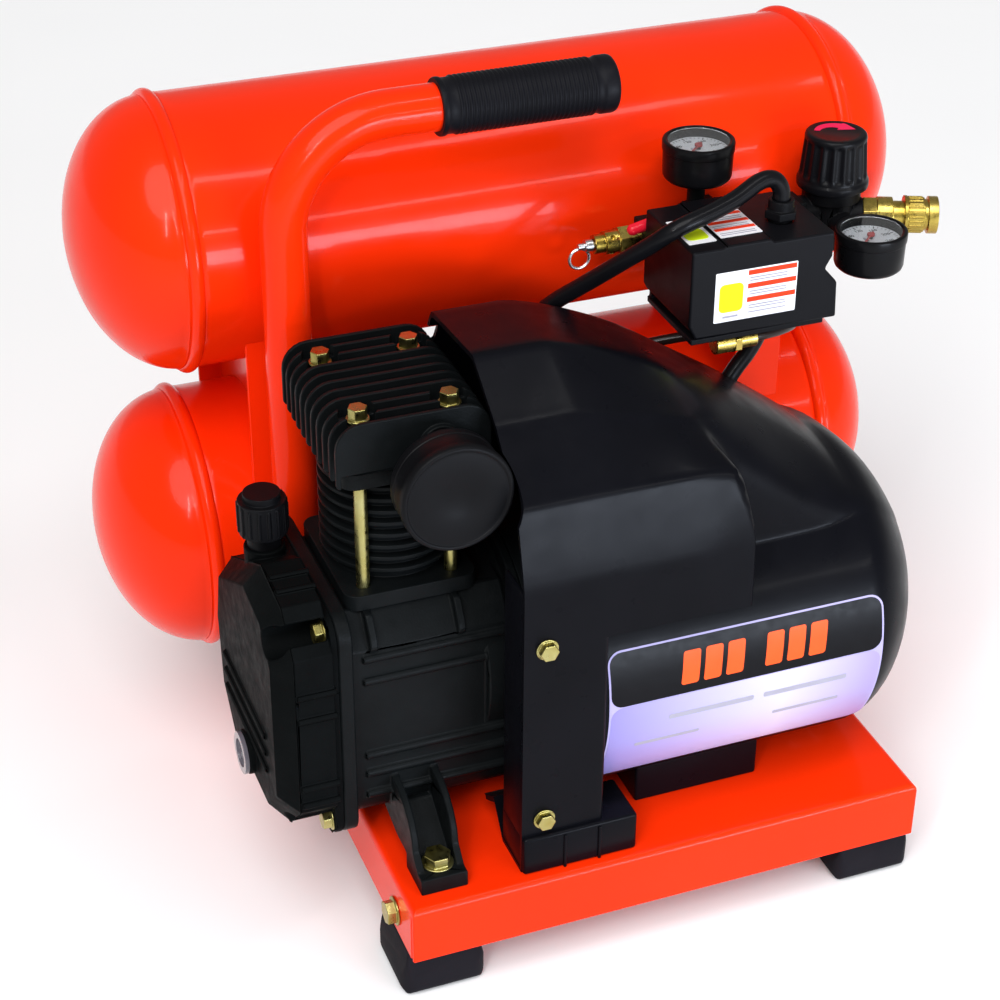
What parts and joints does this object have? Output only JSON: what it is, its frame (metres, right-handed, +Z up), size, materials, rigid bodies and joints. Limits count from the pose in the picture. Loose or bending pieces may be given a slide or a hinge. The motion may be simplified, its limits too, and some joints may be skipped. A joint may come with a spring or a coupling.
{
  "type": "twin stack air compressor",
  "caption": "Portable direct-drive air compressor: finned pump and shrouded motor in front of two stacked horizontal tanks on a footed tray, with a bent tube handle.",
  "frame": {"origin": "centre of the overall box on the ground plane", "axes": "+X along the tanks away from the pump, +Y towards the tanks and the back, +Z up"},
  "size_m": [0.492, 0.36, 0.445],
  "materials": {
    "red_paint": "glossy orange-red enamel",
    "foot_rubber": "matt black rubber",
    "zinc_bolts": "yellow zinc plating",
    "plated_steel": "bright zinc plating",
    "grip_rubber": "soft ribbed rubber",
    "black_casting": "black semi-gloss paint over a cast surface",
    "sight_window": "clear window over oil",
    "black_plastic": "moulded black plastic",
    "machined_steel": "machined and ground",
    "bare_aluminium": "bare cast aluminium",
    "dark_iron": "dark iron",
    "filter_paper": "felt and paper element",
    "copper_tube": "bare copper tube",
    "brass_fittings": "machined brass",
    "copper_wire": "enamelled copper wire",
    "dark_plastic": "dark grey plastic",
    "shroud_plastic": "satin black moulded plastic",
    "switch_plastic": "satin black moulded plastic",
    "red_plastic": "glossy red tip",
    "lead_rubber": "smooth black cable sheath",
    "tube_plastic": "dark nylon tube",
    "knob_plastic": "fluted black plastic",
    "gauge_black": "black gauge case",
    "gauge_window": "clear flat lens",
    "needle_red": "red pointer"
  },
  "bodies": {
    "frame": {"base_tray": "red_paint", "rubber_feet": "foot_rubber", "base_bolts": "zinc_bolts", "lower_tank_barrel": "red_paint", "lower_tank_ends": "red_paint", "upper_tank_barrel": "red_paint", "upper_tank_ends": "red_paint", "tank_brackets": "red_paint", "balance_pipe": "plated_steel", "handle_tube": "red_paint", "handle_grip": "grip_rubber", "crankcase": "black_casting", "crankcase_cover": "black_casting", "cover_bolts": "zinc_bolts", "sight_glass": "sight_window", "oil_breather": "black_plastic", "shaft_bearings": "machined_steel", "cylinder": "black_casting", "valve_plate": "machined_steel", "reed_valves": "machined_steel", "cylinder_head": "black_casting", "head_bolts": "zinc_bolts", "filter_housing": "black_plastic", "filter_element": "filter_paper", "discharge_tube": "copper_tube", "check_valve": "brass_fittings", "motor_shell": "black_casting", "stator_core": "dark_iron", "stator_windings": "copper_wire", "motor_end_bell": "bare_aluminium", "capacitor": "dark_plastic", "motor_foot": "black_casting", "shroud": "shroud_plastic", "shroud_screws": "zinc_bolts", "switch_base": "switch_plastic", "switch_cover": "switch_plastic", "cable_glands": "black_plastic", "motor_leads": "lead_rubber", "unloader_tube": "tube_plastic", "unloader_valve": "brass_fittings", "manifold": "black_casting", "regulator_body": "black_plastic", "gauge_cases": "gauge_black", "gauge_lenses": "gauge_window", "coupler_body": "brass_fittings", "safety_valve": "brass_fittings", "drain_valve": "brass_fittings"},
    "crank": {"crankshaft": "machined_steel", "rotor": "machined_steel", "cooling_fan": "dark_plastic"},
    "rod": {"connecting_rod": "bare_aluminium", "wrist_pin": "machined_steel"},
    "piston_group": {"piston": "bare_aluminium", "piston_rings": "dark_iron"},
    "on_off_lever": {"switch_lever": "red_plastic"},
    "pressure_knob": {"regulator_knob": "knob_plastic"},
    "tank_pointer": {"tank_gauge_needle": "needle_red"},
    "outlet_pointer": {"outlet_gauge_needle": "needle_red"},
    "sleeve": {"coupler_sleeve": "brass_fittings"},
    "pull_ring": {"safety_valve_ring": "plated_steel"}
  },
  "joints": [
    {"name": "crank_turn", "type": "hinge", "parent": "frame", "child": "crank", "pos_m": [0, -0.069, 0.156], "axis": [1, 0, 0], "continuous": true},
    {"name": "rod_swing", "type": "hinge", "parent": "crank", "child": "rod", "pos_m": [-0.121, -0.069, 0.145], "axis": [1, 0, 0], "continuous": true},
    {"name": "piston_stroke", "type": "slide", "parent": "frame", "child": "piston_group", "axis": [0, 0, 1], "range_m": [0, 0.022]},
    {"name": "lever_tilt", "type": "hinge", "parent": "frame", "child": "on_off_lever", "pos_m": [0.066, -0.01, 0.357], "axis": [0, 1, 0], "range_deg": [0, 40]},
    {"name": "knob_turn", "type": "hinge", "parent": "frame", "child": "pressure_knob", "pos_m": [0.17, 0.003, 0.354], "axis": [0, 0, 1], "range_deg": [-180, 180]},
    {"name": "tank_pointer_turn", "type": "hinge", "parent": "frame", "child": "tank_pointer", "pos_m": [0.085, 0.003, 0.392], "axis": [0, 0, -1], "range_deg": [0, 270]},
    {"name": "outlet_pointer_turn", "type": "hinge", "parent": "frame", "child": "outlet_pointer", "pos_m": [0.167, -0.049, 0.348], "axis": [0, 0, -1], "range_deg": [0, 270]},
    {"name": "sleeve_pull", "type": "slide", "parent": "frame", "child": "sleeve", "axis": [-0.9205, 0.3907, 0], "range_m": [0, 0.005], "stiffness_N_per_m": 800, "springref_m": -0.003},
    {"name": "ring_pull", "type": "slide", "parent": "frame", "child": "pull_ring", "axis": [-1, 0, 0], "range_m": [0, 0.004], "stiffness_N_per_m": 1000, "springref_m": -0.003}
  ],
  "couplings": [
    {"joint": "rod_swing", "follows": "crank_turn", "ratio": -1}
  ]
}
